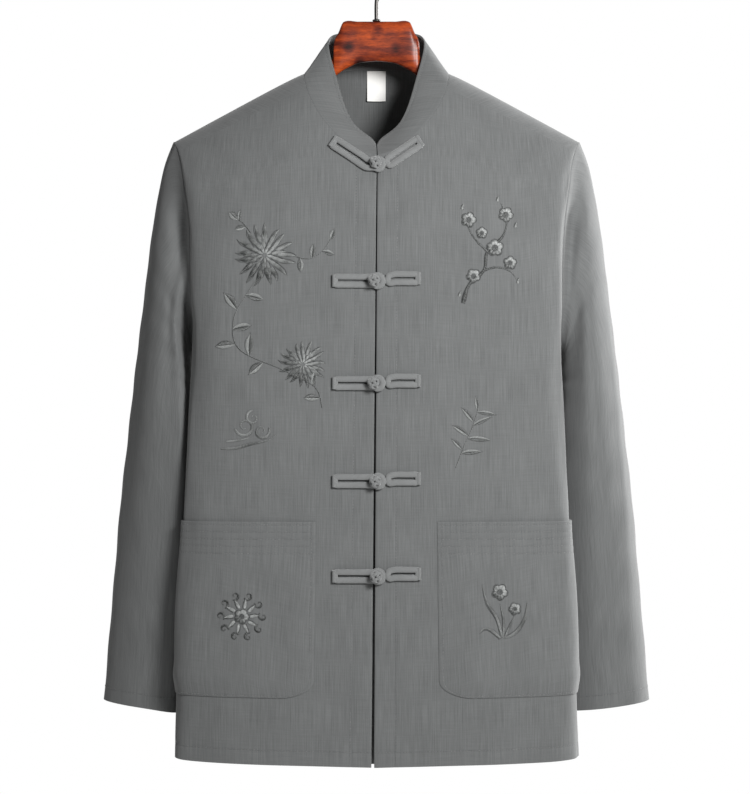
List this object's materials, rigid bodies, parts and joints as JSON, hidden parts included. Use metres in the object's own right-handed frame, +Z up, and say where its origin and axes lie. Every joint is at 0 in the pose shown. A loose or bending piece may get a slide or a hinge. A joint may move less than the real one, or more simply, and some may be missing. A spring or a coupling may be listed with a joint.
{
  "type": "tang suit jacket on a wooden hanger",
  "caption": "Grey tang suit jacket with a stand collar, frog fasteners, patch pockets and tonal embroidery, hung on a wooden hanger.",
  "frame": {"origin": "the point inside the crown of the hook that rests on the rail", "axes": "+X towards the wearer's left, the front faces -Y, +Z up along the hook's stem"},
  "size_m": [0.6034, 0.1991, 0.8793],
  "materials": {
    "cloth": "matt grey plain weave with tonal embroidery",
    "cord": "grey cloth cord",
    "label": "blank white woven label",
    "wood": "glossy red-brown varnish",
    "wire": "dark steel wire"
  },
  "bodies": {
    "root": {"front_right": "cloth", "front_left": "cloth", "back": "cloth", "sleeve_right": "cloth", "sleeve_left": "cloth", "pocket_right": "cloth", "pocket_left": "cloth", "collar": "cloth", "frog_1_loop": "cord", "frog_1_knot": "cord", "frog_2_loop": "cord", "frog_2_knot": "cord", "frog_3_loop": "cord", "frog_3_knot": "cord", "frog_4_loop": "cord", "frog_4_knot": "cord", "frog_5_loop": "cord", "frog_5_knot": "cord", "neck_label": "label", "hanger_wood": "wood", "hanger_hook": "wire"}
  },
  "joints": []
}
